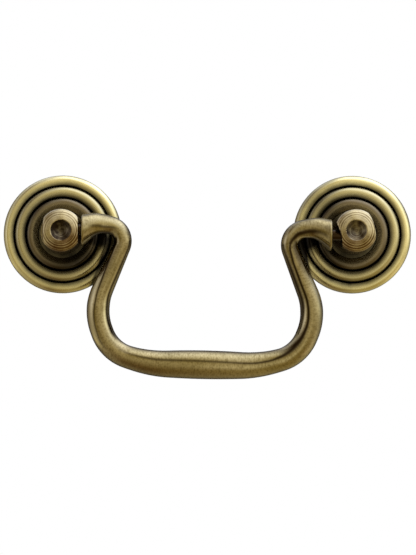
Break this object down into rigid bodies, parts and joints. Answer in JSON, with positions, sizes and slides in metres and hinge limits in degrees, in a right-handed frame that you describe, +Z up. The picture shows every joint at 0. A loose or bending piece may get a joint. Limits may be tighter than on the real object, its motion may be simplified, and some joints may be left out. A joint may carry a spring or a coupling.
{
  "type": "bail pull",
  "caption": "Swan-neck bail pull for a drawer: a bar that swings between turned posts on beaded round rosettes, held by machine screws from inside the drawer.",
  "frame": {"origin": "on the drawer face, midway between the fixing screws", "axes": "+X along the pull, to the right as seen from the front; +Y into the drawer; +Z up"},
  "size_m": [0.1072, 0.0397, 0.0538],
  "materials": {
    "bail_brass": "cast, antiqued, satin",
    "post_brass": "turned, antiqued, satin",
    "rosette_brass": "cast, antiqued, relieved",
    "screw_steel": "zinc plated"
  },
  "bodies": {
    "mounting": {"left_post": "post_brass", "right_post": "post_brass", "left_rosette": "rosette_brass", "right_rosette": "rosette_brass", "left_screw": "screw_steel", "right_screw": "screw_steel"},
    "bail": {"bail": "bail_brass"}
  },
  "joints": [
    {"name": "bail_swing", "type": "hinge", "parent": "mounting", "child": "bail", "pos_m": [-0.00049, -0.0135, -0.00034], "axis": [-0.9998, 0, 0.02], "range_deg": [-16.5, 196.5]}
  ]
}
